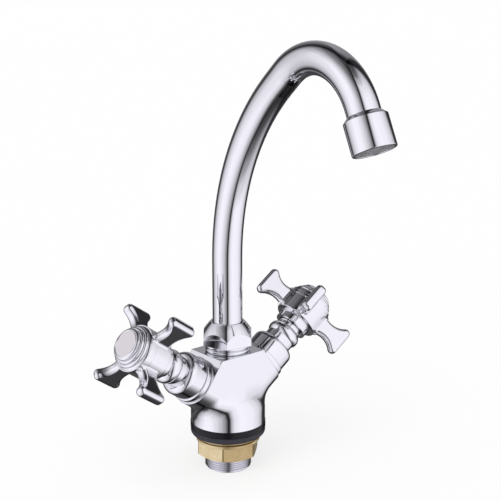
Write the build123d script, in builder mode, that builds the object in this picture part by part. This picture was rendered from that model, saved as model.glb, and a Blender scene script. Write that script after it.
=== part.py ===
"""Two handle kitchen faucet: a cast body with two raked quarter-turn valves and a swan-neck spout.

Frame: +Z up, millimetres. The origin is on the shank axis in the plane of the worktop, which is the
underside of the base gasket. The spout reaches towards -Y, the cold valve leans out towards -X and the
hot one towards +X.
"""
from build123d import *
import os
from math import asin, cos, radians, sin, tan

os.makedirs("parts", exist_ok=True)

# ---------------------------------------------------------------- driving sizes, in millimetres and degrees
# clearances
thread_clearance = 0.10        # screwed pieces, radial
running_clearance = 0.04       # turning pieces, radial
face_clearance = 0.10          # turning pieces, along their axis
seal_clearance = 0.02          # O-rings in their grooves
groove_play = 0.3              # beside each O-ring

# base
gasket_thickness = 9.3
gasket_band = 4.6              # upright part of the rim, above the bevel
gasket_overhang = 0.3          # rim beyond the skirt
gasket_undercut = 2.9          # foot inside the rim
shank_radius = 15.9            # M32 x 1.5 crest, on the free thread
shank_thread_bite = 0.4        # crest to pitch line, where the nut and the body hold the thread
shank_drop = 24.3              # below the worktop plane
shank_insertion = 11.0         # into the body
shank_lead = 1.0               # chamfer at the foot of the thread
inlet_spacing = 17.0
inlet_thread_radius = 4.5      # M10 x 1 core
inlet_thread_depth = 13.0
inlet_bore_radius = 3.4
washer_radius = 22.4
washer_thickness = 1.3
nut_across_flats = 38.0
nut_height = 10.4              # of the hexagon
nut_boss_height = 3.1
nut_boss_radius = 18.6
nut_turn = 41.6                # a corner of the hexagon stands at this angle from +X
nut_chamfer_angle = 30.0       # round the foot of the hexagon

# cast body
skirt_overhang = 8.7           # skirt beyond the flat sides of the arms
skirt_height = 9.0             # upright part of the skirt
shoulder_height = 25.0         # the ogee above it
shoulder_inset = 2.4           # the ogee ends this far inside the flat sides
body_height = 50.0
top_length = 36.0              # flat top, along X
top_depth = 33.4               # flat top, along Y
valve_tilt = 35.0              # valve axes above the horizontal
valve_rise = 14.6              # where the valve axes meet, above the foot of the body
arm_blend = 18.0               # casting radius between arms and skirt
top_edge_round = 0.4           # edges of the flat top and of the valve faces

# valve seat in the body
valve_bore_radius = 10.0
valve_bore_depth = 18.0
seat_bore_radius = 3.6
seat_bore_overrun = 2.3        # past the middle of the inlet way
oring_seat_radius = 11.4       # counterbore round the headwork's O-ring
oring_seat_depth = 1.9
mixing_bore_radius = 6.0
mixing_sump = 8.4              # below the ports
mixing_port_radius = 2.2
mixing_port_overrun = 1.8      # into the valve bores

# bonnet
bonnet_ring_radius = 15.8
bonnet_ring_height = 4.2
bonnet_radius = 14.9
bonnet_height = 17.4           # body face to the top of the shoulder
bonnet_shoulder = 4.0
bonnet_wall = 1.9
bonnet_neck_radius = 10.3
bonnet_neck_height = 5.5
collar_radius = 11.7
collar_height = 8.1
nose_radius = 8.8
nose_height = 5.4

# headwork
headwork_skirt_wall = 1.7
headwork_hex_flats = 20.0
headwork_hex_height = 5.5
headwork_neck_radius = 7.4
headwork_neck_height = 16.0
headwork_tip_radius = 6.0
headwork_overtop = 0.6         # above the bonnet's nose
window_height = 4.0
window_width = 7.0
disc_thickness = 3.0
disc_port_radius = 2.0
disc_port_pitch_radius = 4.6
seat_seal_thickness = 2.4
seat_seal_hole_radius = 6.8
headwork_oring_section = 0.66

# spindle
spindle_radius = 4.0
spindle_foot_radius = 7.6
spindle_foot_height = 3.4
drive_key_width = 3.0
drive_key_height = 1.2
spindle_seal_section = 0.55
spindle_seal_rise = 12.0       # above the foot
clip_thickness = 0.8
clip_radius = 5.6
clip_groove_depth = 0.7
square_size = 6.0              # square end of the spindle, across flats
square_reach = 13.0            # into the handle
square_lead = 1.5              # and this far below it

# cross handle
handle_gap = 3.2               # collar to the lip of the handle
hub_radius = 12.0
hub_height = 14.6              # lip to the cove under the crown
cove_height = 4.6
crown_step = 1.2               # the cove ends this much inside the lowest ring
crown_radius = 16.0            # of the lowest ring
crown_base_height = 5.7        # of the lowest ring
crown_ring_height = 2.25       # of each ring above it
crown_ring_inset = 1.7         # each ring inside the one below
crown_upper_rings = 2
crown_groove = 0.4             # how far the rings stand out from the grooves between them
crown_top_radius = 11.2
hub_recess_radius = 9.6
hub_recess_depth = 7.2
arm_count = 4
arm_roll = 48.0                # first arm, from the front of the valve towards the spout
arm_reach = 36.1
arm_thickness = 7.4
arm_rise = 15.0                # lip to the arms' centre line
arm_tip_width = 21.2           # across the two rounded ears
arm_neck_width = 12.0
arm_neck_reach = 21.5
arm_root_width = 23.6          # at its inner end, buried in the hub's wall
arm_root_reach = 10.3
arm_ear_radius = 3.3           # at each corner of the tip
arm_edge_radius = 2.8
arm_root_round = 1.0           # casting radius where the arms leave the hub

# index cap and screw
cap_radius = 10.9
cap_height = 2.4
cap_edge_round = 0.9
cap_spigot_radius = 9.0
cap_spigot_height = 2.2
screw_radius = 2.0
screw_length = 8.0             # under the head
screw_hole_depth = 9.0
screw_seat = 1.4               # shelf of the handle under the screw's head
screw_head_radius = 3.8
screw_head_height = 2.6
screw_socket_flats = 3.0
screw_socket_depth = 1.6

# spout seat and union nut
spigot_stub_radius = 10.4
spigot_stub_depth = 9.5
spigot_ring_radius = 15.2
spigot_ring_height = 5.6
spigot_rings = 2
spigot_ring_groove = 1.0
spigot_thread_radius = 13.0
spigot_thread_height = 5.2
union_across_flats = 31.9
union_height = 14.8
union_hex_height = 5.1         # full corners, below the dome
union_turn = 50.0              # a corner of the hexagon stands at this angle from +X
union_mouth_radius = 10.35
union_mouth_wall = 1.15
union_lip = 4.2
union_dome_bulge = 0.2

# spout
tube_radius = 10.0
tube_wall = 1.0
spout_turn = -4.0              # how far the photographed spout stands from -Y, towards the cold valve
tail_radius = 8.95
tail_bore_radius = 6.8
tail_depth = 18.5              # below its collar
tail_collar_radius = 11.5
tail_collar_height = 2.6
tail_stub_height = 12.0
tail_seal_section = 0.6
tail_seal_spacing = 4.5
tail_seal_rise = 4.0           # lower ring above the foot of the tail
glide_ring_thickness = 1.2
rise_height = 122.5            # upright part of the tube, above the worktop
sweep_radius = 161.0           # long forward sweep
sweep_angle = 48.7
run_length = 11.9              # straight between the two bends
crook_radius = 43.3            # tight bend over the top
crook_angle = 105.2
outlet_run = 6.0               # straight before the outlet

# outlet
nipple_radius = 11.9           # M24 x 1
nipple_length = 7.0
nipple_shoulder_height = 2.2
nipple_shoulder_radius = 12.5
tube_socket_depth = 5.0
aerator_radius = 13.1
aerator_height = 19.6
aerator_lip = 1.0
aerator_lip_overlap = 1.0
aerator_edge_round = 0.8
aerator_seal_thickness = 1.9
aerator_seal_hole_radius = 8.2
insert_height = 9.6
insert_floor = 2.0
insert_hole_radius = 0.95
insert_hole_pitch = 2.7
insert_hole_rings = 3

# ---------------------------------------------------------------- places worked out from the sizes
foot_z = gasket_thickness
top_z = foot_z + body_height
valve_z = foot_z + valve_rise
valve_origin = (0, 0, valve_z)
arm_half = top_depth / 2
skirt_radius = arm_half + skirt_overhang
shoulder_radius = arm_half - shoulder_inset
gasket_radius = skirt_radius + gasket_overhang
gasket_foot_radius = gasket_radius - gasket_undercut
shank_pitch_radius = shank_radius - shank_thread_bite
headwork_radius = valve_bore_radius - thread_clearance
crown_ring_radii = [crown_radius - ring * crown_ring_inset for ring in range(crown_upper_rings + 1)]
crown_ring_heights = [crown_base_height] + [crown_ring_height] * crown_upper_rings

# distances along a valve axis, from where the two axes meet
rake = radians(valve_tilt)
face_s = top_length / 2 * cos(rake) + (top_z - valve_z) * sin(rake)
face_top = (top_z - valve_z) * cos(rake) - top_length / 2 * sin(rake)
seat_s = face_s - valve_bore_depth
headwork_foot_s = seat_s + seat_seal_thickness
moving_disc_s = headwork_foot_s + disc_thickness
spindle_foot_s = moving_disc_s + face_clearance + disc_thickness
shoulder_s = face_s + bonnet_height
neck_s = shoulder_s + bonnet_neck_height
collar_s = neck_s + collar_height
nose_s = collar_s + nose_height
lip_s = collar_s + handle_gap
cove_s = lip_s + hub_height
crown_s = cove_s + cove_height
cap_s = crown_s + sum(crown_ring_heights)
recess_s = lip_s + hub_recess_depth

# a fishtail arm: the arc of each flank leaves the neck along the arm and runs tangent into the ear at the tip
ear_reach = arm_reach - arm_ear_radius
ear_offset = arm_tip_width / 2 - arm_ear_radius
flare_run = ear_reach - arm_neck_reach
flare_rise = ear_offset - arm_neck_width / 2
flare_radius = (flare_run**2 + flare_rise**2 - arm_ear_radius**2) / (2 * (flare_rise + arm_ear_radius))
ear_turn = asin(flare_run / (flare_radius + arm_ear_radius))

# the two valves: local z runs out along the valve, local y leans up towards the spout
valves = {
    "cold": Plane(valve_origin, x_dir=(0, -1, 0), z_dir=(-cos(rake), 0, sin(rake))),
    "hot": Plane(valve_origin, x_dir=(0, 1, 0), z_dir=(cos(rake), 0, sin(rake))),
}

# the spout's own upright plane: local x reaches forward, local y is up
reach_dir = Vector(0, -1, 0).rotate(Axis.Z, spout_turn)
spout_plane = Plane((0, 0, 0), x_dir=reach_dir, z_dir=reach_dir.cross(Vector(0, 0, 1)))


def along(valve):
    """The axis of a valve."""
    return Axis(valve.origin, valve.z_dir)


def meridian(valve, turn=0):
    """A plane through a valve's axis: local x is the radius, local y the distance along the axis."""
    outward = valve.x_dir.rotate(along(valve), turn)
    return Plane(valve.origin, x_dir=outward, z_dir=outward.cross(valve.z_dir))


def finish(builder, name):
    """Label a finished piece and write it to its own file."""
    builder.part.label = name
    export_step(builder.part, f"parts/{name}.step")


# ---------------------------------------------------------------- cast body
shoulder_z = foot_z + skirt_height
ogee_top_z = shoulder_z + shoulder_height
ogee_middle = ((skirt_radius + shoulder_radius) / 2, (shoulder_z + ogee_top_z) / 2)
inlet_x = inlet_spacing / 2
shank_top_z = foot_z + shank_insertion
seat_bore_depth = seat_s - inlet_x / cos(rake) + seat_bore_overrun
port_z = valve_z + spindle_foot_s * sin(rake) + headwork_radius * cos(rake)
port_reach = spindle_foot_s * cos(rake) - headwork_radius * sin(rake) + mixing_port_overrun

with BuildPart() as mixer_body:
    for valve in valves.values():
        with BuildSketch(valve):
            with BuildLine():
                Polyline((-arm_half, 0), (-arm_half, face_top), (arm_half, face_top), (arm_half, 0))
                ThreePointArc((arm_half, 0), (0, -arm_half), (-arm_half, 0))
            make_face()
        extrude(amount=face_s)
    with BuildSketch(Plane.XZ):
        with BuildLine():
            Polyline((-top_length / 2, top_z), (top_length / 2, top_z), (0, valve_z), close=True)
        make_face()
    extrude(amount=arm_half, both=True)
    # skirt with an ogee shoulder that dies into the arms
    with BuildSketch(Plane.XZ):
        with BuildLine():
            Polyline((0, ogee_top_z), (0, foot_z), (skirt_radius, foot_z), (skirt_radius, shoulder_z))
            TangentArc((skirt_radius, shoulder_z), ogee_middle, tangent=(0, 1))
            TangentArc((shoulder_radius, ogee_top_z), ogee_middle, tangent=(0, -1))
            Line((shoulder_radius, ogee_top_z), (0, ogee_top_z))
        make_face()
    revolve(axis=Axis.Z)
    fillet(mixer_body.edges(Select.NEW), arm_blend)
    flat_ends = [mixer_body.faces().sort_by(Axis.Z)[-1]]
    flat_ends += [mixer_body.faces().sort_by(along(valve))[-1] for valve in valves.values()]
    fillet(ShapeList(flat_ends).edges(), top_edge_round)
    # socket for the shank and the two inlet ways above it
    with BuildSketch(Plane.XY.offset(foot_z)):
        Circle(shank_pitch_radius + thread_clearance)
    extrude(amount=shank_insertion, mode=Mode.SUBTRACT)
    with BuildSketch(Plane.XY.offset(shank_top_z)):
        with GridLocations(inlet_spacing, 0, 2, 1):
            Circle(inlet_bore_radius)
    extrude(amount=valve_z + inlet_x * tan(rake) - shank_top_z, mode=Mode.SUBTRACT)
    # valve bores with their O-ring counterbores and seats
    for valve in valves.values():
        for start_s, depth, radius in (
            (face_s, oring_seat_depth, oring_seat_radius),
            (face_s, valve_bore_depth, valve_bore_radius),
            (seat_s, seat_bore_depth, seat_bore_radius),
        ):
            with BuildSketch(valve.offset(start_s)):
                Circle(radius)
            extrude(amount=-depth, mode=Mode.SUBTRACT)
    # mixed water rises through the middle to the spout
    with BuildSketch(Plane.XY.offset(top_z)):
        Circle(mixing_bore_radius)
    extrude(amount=port_z - mixing_sump - top_z, mode=Mode.SUBTRACT)
    with BuildSketch(Plane.XY.offset(top_z)):
        Circle(spigot_stub_radius + thread_clearance)
    extrude(amount=-spigot_stub_depth, mode=Mode.SUBTRACT)
    with BuildSketch(Plane.YZ):
        with Locations((0, port_z)):
            Circle(mixing_port_radius)
    extrude(amount=port_reach, both=True, mode=Mode.SUBTRACT)
finish(mixer_body, "mixer_body")

# ---------------------------------------------------------------- base: shank, gasket, washer and back nut
nut_top_z = -washer_thickness
nut_hex_top_z = nut_top_z - nut_boss_height
nut_foot_z = nut_hex_top_z - nut_height
free_thread_z = nut_foot_z - 2 * face_clearance

# the free thread below the nut stands at its crest, the rest at its pitch line
with BuildPart() as threaded_shank:
    with BuildSketch(Plane.XY.offset(-shank_drop)):
        Circle(shank_radius)
    extrude(amount=shank_drop + free_thread_z)
    chamfer(threaded_shank.edges().group_by(Axis.Z)[0], shank_lead)
    with BuildSketch(Plane.XY.offset(free_thread_z)):
        Circle(shank_pitch_radius)
    extrude(amount=shank_top_z - free_thread_z)
    with BuildSketch(Plane.XY.offset(-shank_drop)):
        with GridLocations(inlet_spacing, 0, 2, 1):
            Circle(inlet_thread_radius)
    extrude(amount=inlet_thread_depth, mode=Mode.SUBTRACT)
    with BuildSketch(Plane.XY.offset(-shank_drop)):
        with GridLocations(inlet_spacing, 0, 2, 1):
            Circle(inlet_bore_radius)
    extrude(amount=shank_drop + shank_top_z, mode=Mode.SUBTRACT)
finish(threaded_shank, "threaded_shank")

gasket_bore_radius = shank_radius + thread_clearance
with BuildPart() as base_gasket:
    with BuildSketch(Plane.XZ):
        with BuildLine():
            Polyline(
                (gasket_bore_radius, 0),
                (gasket_foot_radius, 0),
                (gasket_radius, gasket_thickness - gasket_band),
                (gasket_radius, gasket_thickness),
                (gasket_bore_radius, gasket_thickness),
                close=True,
            )
        make_face()
    revolve(axis=Axis.Z)
finish(base_gasket, "base_gasket")

with BuildPart() as clamp_washer:
    with BuildSketch(Plane.XY):
        Circle(washer_radius)
        Circle(shank_radius + thread_clearance, mode=Mode.SUBTRACT)
    extrude(amount=-washer_thickness)
    fillet(clamp_washer.edges().group_by(Axis.Z)[0].sort_by(SortBy.RADIUS)[-1], washer_thickness / 3)
finish(clamp_washer, "clamp_washer")

with BuildPart() as back_nut:
    with BuildSketch(Plane.XY.offset(nut_hex_top_z)):
        RegularPolygon(nut_across_flats / 2, 6, major_radius=False, rotation=nut_turn)
    extrude(amount=-nut_height)
    with BuildSketch(Plane.XZ):
        with BuildLine():
            Polyline(
                (0, nut_hex_top_z),
                (nut_across_flats / 2 + nut_height / tan(radians(nut_chamfer_angle)), nut_hex_top_z),
                (nut_across_flats / 2, nut_foot_z),
                (0, nut_foot_z),
                close=True,
            )
        make_face()
    revolve(axis=Axis.Z, mode=Mode.INTERSECT)
    with BuildSketch(Plane.XY.offset(nut_hex_top_z)):
        Circle(nut_boss_radius)
    extrude(amount=nut_boss_height)
    with BuildSketch(Plane.XY.offset(nut_top_z)):
        Circle(shank_pitch_radius + thread_clearance)
    extrude(amount=nut_foot_z - nut_top_z, mode=Mode.SUBTRACT)
finish(back_nut, "back_nut")

# ---------------------------------------------------------------- valves, the same on both sides
headwork_cavity_radius = headwork_radius - headwork_skirt_wall
disc_radius = headwork_cavity_radius - thread_clearance
spindle_stem_s = spindle_foot_s + spindle_foot_height
headwork_bore_radius = spindle_radius + running_clearance
headwork_hex_s = face_s + headwork_hex_height
headwork_neck_s = headwork_hex_s + headwork_neck_height
headwork_top_s = nose_s + headwork_overtop
bonnet_neck_bore = headwork_neck_radius + thread_clearance
bonnet_nose_bore = headwork_tip_radius + thread_clearance
clip_s = headwork_top_s + face_clearance
clip_groove_radius = spindle_radius - clip_groove_depth
square_s = recess_s - square_lead
spindle_end_s = recess_s + square_reach
spindle_seal_s = spindle_stem_s + spindle_seal_rise
seal_groove_radius = headwork_bore_radius - 2 * spindle_seal_section - 2 * seal_clearance
screw_head_s = spindle_end_s + screw_seat
cap_spigot_s = cap_s - cap_spigot_height

for side, valve in valves.items():
    profile = meridian(valve)
    valve_axis = along(valve)

    # rubber ring between the headwork and its seat in the body
    with BuildPart() as seat_seal:
        with BuildSketch(valve.offset(seat_s)):
            Circle(headwork_cavity_radius)
            Circle(seat_seal_hole_radius, mode=Mode.SUBTRACT)
        extrude(amount=seat_seal_thickness)
    finish(seat_seal, f"{side}_seat_seal")

    # brass headwork: a threaded skirt round the discs, a hexagon on the body's face and a neck for the bonnet
    with BuildPart() as headwork:
        with BuildSketch(profile):
            with BuildLine():
                Polyline(
                    (0, headwork_foot_s),
                    (headwork_radius, headwork_foot_s),
                    (headwork_radius, face_s),
                    (headwork_neck_radius, face_s),
                    (headwork_neck_radius, headwork_neck_s),
                    (headwork_tip_radius, headwork_neck_s),
                    (headwork_tip_radius, headwork_top_s),
                    (0, headwork_top_s),
                    close=True,
                )
            make_face()
        revolve(axis=valve_axis)
        with BuildSketch(valve.offset(face_s)):
            RegularPolygon(headwork_hex_flats / 2, 6, major_radius=False)
        extrude(amount=headwork_hex_height)
        with BuildSketch(valve.offset(headwork_foot_s)):
            Circle(headwork_cavity_radius)
        extrude(amount=spindle_stem_s + face_clearance - headwork_foot_s, mode=Mode.SUBTRACT)
        with BuildSketch(valve.offset(headwork_foot_s)):
            Circle(headwork_bore_radius)
        extrude(amount=headwork_top_s - headwork_foot_s, mode=Mode.SUBTRACT)
        # windows that let the water out of the skirt beside the discs
        with BuildSketch(meridian(valve, 90)):
            with Locations((0, spindle_foot_s)):
                Rectangle(3 * headwork_radius, window_height)
        extrude(amount=window_width / 2, both=True, mode=Mode.SUBTRACT)
    finish(headwork, f"{side}_headwork")

    oring_mid_radius = headwork_radius + seal_clearance + headwork_oring_section
    with BuildPart() as headwork_oring:
        with BuildSketch(profile):
            with Locations((oring_mid_radius, face_s - oring_seat_depth / 2)):
                Circle(headwork_oring_section)
        revolve(axis=valve_axis)
    finish(headwork_oring, f"{side}_headwork_oring")

    # ceramic discs: the fixed one has two ports, the moving one two notches
    with BuildPart() as fixed_disc:
        with BuildSketch(valve.offset(headwork_foot_s)):
            Circle(disc_radius)
            with PolarLocations(disc_port_pitch_radius, 2):
                Circle(disc_port_radius, mode=Mode.SUBTRACT)
        extrude(amount=disc_thickness)
    finish(fixed_disc, f"{side}_fixed_disc")

    with BuildPart() as moving_disc:
        with BuildSketch(valve.offset(moving_disc_s + face_clearance)):
            Circle(disc_radius)
            with PolarLocations(disc_radius, 2, start_angle=90):
                Circle(2 * disc_port_radius, mode=Mode.SUBTRACT)
        extrude(amount=disc_thickness)
        with BuildSketch(valve.offset(spindle_foot_s)):
            Rectangle(3 * disc_radius, drive_key_width + 2 * thread_clearance)
        extrude(amount=-drive_key_height - face_clearance, mode=Mode.SUBTRACT)
    finish(moving_disc, f"{side}_moving_disc")

    # spindle: foot with a drive key, stem with an O-ring groove and a clip groove, square end, screw hole
    with BuildPart() as spindle:
        with BuildSketch(valve.offset(spindle_foot_s)):
            Circle(spindle_foot_radius)
        extrude(amount=spindle_foot_height)
        with BuildSketch(valve.offset(spindle_foot_s)):
            Circle(spindle_foot_radius)
            Rectangle(2 * spindle_foot_radius, drive_key_width, mode=Mode.INTERSECT)
        extrude(amount=-drive_key_height)
        with BuildSketch(valve.offset(spindle_stem_s)):
            Circle(spindle_radius)
        extrude(amount=square_s - spindle_stem_s)
        with BuildSketch(valve.offset(square_s)):
            Circle(spindle_radius)
            Rectangle(square_size, square_size, mode=Mode.INTERSECT)
        extrude(amount=spindle_end_s - square_s)
        for groove_s, groove_width, groove_radius in (
            (spindle_seal_s, 2 * (spindle_seal_section + groove_play), seal_groove_radius),
            (clip_s + clip_thickness / 2, clip_thickness + face_clearance, clip_groove_radius),
        ):
            with BuildSketch(valve.offset(groove_s)):
                Circle(2 * spindle_radius - clip_groove_radius)
                Circle(groove_radius, mode=Mode.SUBTRACT)
            extrude(amount=groove_width / 2, both=True, mode=Mode.SUBTRACT)
        with BuildSketch(valve.offset(spindle_end_s)):
            Circle(screw_radius + thread_clearance)
        extrude(amount=-screw_hole_depth, mode=Mode.SUBTRACT)
    finish(spindle, f"{side}_spindle")

    with BuildPart() as spindle_oring:
        with BuildSketch(profile):
            with Locations((seal_groove_radius + seal_clearance + spindle_seal_section, spindle_seal_s)):
                Circle(spindle_seal_section)
        revolve(axis=valve_axis)
    finish(spindle_oring, f"{side}_spindle_oring")

    # spring clip that holds the spindle down in the headwork
    with BuildPart() as spindle_clip:
        with BuildSketch(valve.offset(clip_s)):
            Circle(clip_radius)
            Circle(clip_groove_radius + seal_clearance, mode=Mode.SUBTRACT)
            with Locations((clip_radius / 2, 0)):
                Rectangle(clip_radius, spindle_radius, mode=Mode.SUBTRACT)
        extrude(amount=clip_thickness)
    finish(spindle_clip, f"{side}_spindle_clip")

    # bonnet: base ring, barrel with a rounded shoulder, neck, rounded collar and a nose inside the handle
    collar_bulge = collar_height / 2
    with BuildPart() as bonnet:
        with BuildSketch(profile):
            with BuildLine():
                Polyline(
                    (0, face_s),
                    (bonnet_ring_radius, face_s),
                    (bonnet_ring_radius, face_s + bonnet_ring_height),
                    (bonnet_radius, face_s + bonnet_ring_height),
                    (bonnet_radius, shoulder_s - bonnet_shoulder),
                )
                RadiusArc(
                    (bonnet_radius, shoulder_s - bonnet_shoulder),
                    (bonnet_radius - bonnet_shoulder, shoulder_s),
                    -bonnet_shoulder,
                )
                Polyline(
                    (bonnet_radius - bonnet_shoulder, shoulder_s),
                    (bonnet_neck_radius, shoulder_s),
                    (bonnet_neck_radius, neck_s),
                )
                ThreePointArc(
                    (bonnet_neck_radius, neck_s),
                    (collar_radius, neck_s + collar_bulge),
                    (nose_radius, collar_s),
                )
                Polyline((nose_radius, collar_s), (nose_radius, nose_s), (0, nose_s), (0, face_s))
            make_face()
        revolve(axis=valve_axis)
        fillet(bonnet.edges().filter_by(GeomType.CIRCLE).group_by(SortBy.RADIUS)[-1], bonnet_ring_height / 5)
        for start_s, end_s, radius in (
            (face_s, shoulder_s - bonnet_shoulder, bonnet_radius - bonnet_wall),
            (face_s, headwork_neck_s + face_clearance, bonnet_neck_bore),
            (face_s, nose_s, bonnet_nose_bore),
        ):
            with BuildSketch(valve.offset(start_s)):
                Circle(radius)
            extrude(amount=end_s - start_s, mode=Mode.SUBTRACT)
    finish(bonnet, f"{side}_bonnet")

    # one arm of the cross: a fishtail plate in a plane through the valve axis, its long edges rounded over
    arm_s = lip_s + arm_rise
    arm_plane = meridian(valve, arm_roll)
    with BuildPart() as arm:
        with BuildSketch(arm_plane):
            with BuildLine():
                for flank in (1, -1):
                    root = (arm_root_reach, arm_s + flank * arm_root_width / 2)
                    waist = (arm_neck_reach, arm_s + flank * arm_neck_width / 2)
                    ear_foot = (ear_reach - arm_ear_radius * sin(ear_turn),
                                arm_s + flank * (ear_offset + arm_ear_radius * cos(ear_turn)))
                    ear_side = (ear_reach, arm_s + flank * arm_tip_width / 2)
                    TangentArc(waist, root, tangent=(-1, 0))
                    TangentArc(waist, ear_foot, tangent=(1, 0))
                    ThreePointArc(ear_foot, ear_side, (arm_reach, arm_s + flank * ear_offset))
                for end_reach, half in ((arm_root_reach, arm_root_width / 2), (arm_reach, ear_offset)):
                    Line((end_reach, arm_s - half), (end_reach, arm_s + half))
            make_face()
        extrude(amount=arm_thickness / 2, both=True)
        rims = arm.faces().filter_by(Axis(valve.origin, arm_plane.z_dir)).edges()
        root_rims = rims.group_by(Axis(valve.origin, arm_plane.x_dir))[0]
        fillet(rims - root_rims, arm_edge_radius)

    # cross handle: hub with a ringed crown and four arms, hollow at the lip and bored for the spindle
    with BuildPart() as handle:
        with BuildSketch(profile):
            with BuildLine():
                Polyline((0, cap_s), (0, lip_s), (hub_radius, lip_s), (hub_radius, cove_s))
                foot = (crown_ring_radii[0] - crown_step, crown_s)
                TangentArc((hub_radius, cove_s), foot, tangent=(0, 1))
                inner_radii = [radius - crown_groove for radius in crown_ring_radii[1:]] + [crown_top_radius]
                for radius, height, inner in zip(crown_ring_radii, crown_ring_heights, inner_radii):
                    top = (inner, foot[1] + height)
                    ThreePointArc(foot, (radius, foot[1] + height * 0.45), top)
                    foot = top
                Line(foot, (0, cap_s))
            make_face()
        revolve(axis=valve_axis)
        for start_s, end_s, radius in (
            (lip_s, recess_s, hub_recess_radius),
            (spindle_end_s, cap_s, screw_radius + thread_clearance),
            (screw_head_s, cap_s, screw_head_radius + thread_clearance),
            (cap_spigot_s - face_clearance, cap_s, cap_spigot_radius + thread_clearance),
        ):
            with BuildSketch(valve.offset(start_s)):
                Circle(radius)
            extrude(amount=end_s - start_s, mode=Mode.SUBTRACT)
        with BuildSketch(valve.offset(recess_s)):
            Circle(spindle_radius + thread_clearance)
            Rectangle(*2 * [square_size + 2 * thread_clearance], mode=Mode.INTERSECT)
        extrude(amount=square_reach + face_clearance, mode=Mode.SUBTRACT)
        for step in range(arm_count):
            add(arm.part.rotate(valve_axis, step * 360 / arm_count))
            fillet(handle.edges(Select.NEW), arm_root_round)
    finish(handle, f"{side}_handle")

    # index cap: a domed disc with a spigot that screws into the crown
    with BuildPart() as index_cap:
        with BuildSketch(valve.offset(cap_s)):
            Circle(cap_radius)
        extrude(amount=cap_height)
        fillet(index_cap.faces().sort_by(valve_axis)[-1].edges(), cap_edge_round)
        with BuildSketch(valve.offset(cap_s)):
            Circle(cap_spigot_radius)
        extrude(amount=-cap_spigot_height)
    finish(index_cap, f"{side}_index_cap")

    with BuildPart() as handle_screw:
        with BuildSketch(valve.offset(screw_head_s)):
            Circle(screw_head_radius)
        extrude(amount=screw_head_height)
        with BuildSketch(valve.offset(screw_head_s)):
            Circle(screw_radius)
        extrude(amount=-screw_length)
        with BuildSketch(valve.offset(screw_head_s + screw_head_height)):
            RegularPolygon(screw_socket_flats / 2, 6, major_radius=False)
        extrude(amount=-screw_socket_depth, mode=Mode.SUBTRACT)
    finish(handle_screw, f"{side}_handle_screw")

# ---------------------------------------------------------------- spout seat and union nut
ring_base_z = top_z
thread_base_z = ring_base_z + spigot_ring_height
spigot_top_z = thread_base_z + spigot_thread_height
tail_bore = tail_radius + running_clearance
collar_z = spigot_top_z + glide_ring_thickness + 2 * face_clearance
tube_foot_z = collar_z + tail_collar_height
union_top_z = thread_base_z + union_height
lip_z = union_top_z - union_lip
tail_foot_z = collar_z - tail_depth

with BuildPart() as spout_spigot:
    with BuildSketch(Plane.XZ):
        ring_rise = spigot_ring_height / spigot_rings
        with BuildLine():
            Polyline(
                (0, ring_base_z - spigot_stub_depth),
                (spigot_stub_radius, ring_base_z - spigot_stub_depth),
                (spigot_stub_radius, ring_base_z),
                (spigot_ring_radius - spigot_ring_groove, ring_base_z),
            )
            for ring in range(spigot_rings):
                low_z = ring_base_z + ring * ring_rise
                ThreePointArc(
                    (spigot_ring_radius - spigot_ring_groove, low_z),
                    (spigot_ring_radius, low_z + ring_rise / 2),
                    (spigot_ring_radius - spigot_ring_groove, low_z + ring_rise),
                )
            Polyline(
                (spigot_ring_radius - spigot_ring_groove, thread_base_z),
                (spigot_thread_radius, thread_base_z),
                (spigot_thread_radius, spigot_top_z),
                (0, spigot_top_z),
                (0, ring_base_z - spigot_stub_depth),
            )
        make_face()
    revolve(axis=Axis.Z)
    with BuildSketch(Plane.XY.offset(spigot_top_z)):
        Circle(tail_bore)
    extrude(amount=tail_foot_z - face_clearance - spigot_top_z, mode=Mode.SUBTRACT)
    with BuildSketch(Plane.XY.offset(spigot_top_z)):
        Circle(tail_bore_radius)
    extrude(amount=ring_base_z - spigot_stub_depth - spigot_top_z, mode=Mode.SUBTRACT)
finish(spout_spigot, "spout_spigot")

union_corner_radius = union_across_flats / 2 / cos(radians(30))
union_corner_z = thread_base_z + union_hex_height
with BuildPart() as union_nut:
    with BuildSketch(Plane.XY.offset(thread_base_z)):
        RegularPolygon(union_across_flats / 2, 6, major_radius=False, rotation=union_turn)
    extrude(amount=union_height)
    with BuildSketch(Plane.XZ):
        with BuildLine():
            mouth = (union_mouth_radius + union_mouth_wall, union_top_z)
            corner = (union_corner_radius, union_corner_z)
            middle = tuple((low + high) / 2 + union_dome_bulge for low, high in zip(corner, mouth))
            Polyline((0, union_top_z), (0, thread_base_z), (union_corner_radius, thread_base_z), corner)
            ThreePointArc(corner, middle, mouth)
            Line(mouth, (0, union_top_z))
        make_face()
    revolve(axis=Axis.Z, mode=Mode.INTERSECT)
    for start_z, end_z, radius in (
        (thread_base_z, spigot_top_z + face_clearance, spigot_thread_radius + thread_clearance),
        (thread_base_z, lip_z, tail_collar_radius + 3 * thread_clearance),
        (thread_base_z, union_top_z, union_mouth_radius),
    ):
        with BuildSketch(Plane.XY.offset(start_z)):
            Circle(radius)
        extrude(amount=end_z - start_z, mode=Mode.SUBTRACT)
finish(union_nut, "union_nut")

glide_rings = {
    "lower_glide_ring": (spigot_top_z + face_clearance, tail_radius + 2 * thread_clearance),
    "upper_glide_ring": (tube_foot_z + face_clearance, tube_radius + 2 * thread_clearance),
}
for ring_name, (ring_z, ring_bore) in glide_rings.items():
    with BuildPart() as glide_ring:
        with BuildSketch(Plane.XY.offset(ring_z)):
            Circle(tail_collar_radius)
            Circle(ring_bore, mode=Mode.SUBTRACT)
        extrude(amount=glide_ring_thickness)
    finish(glide_ring, ring_name)

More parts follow.
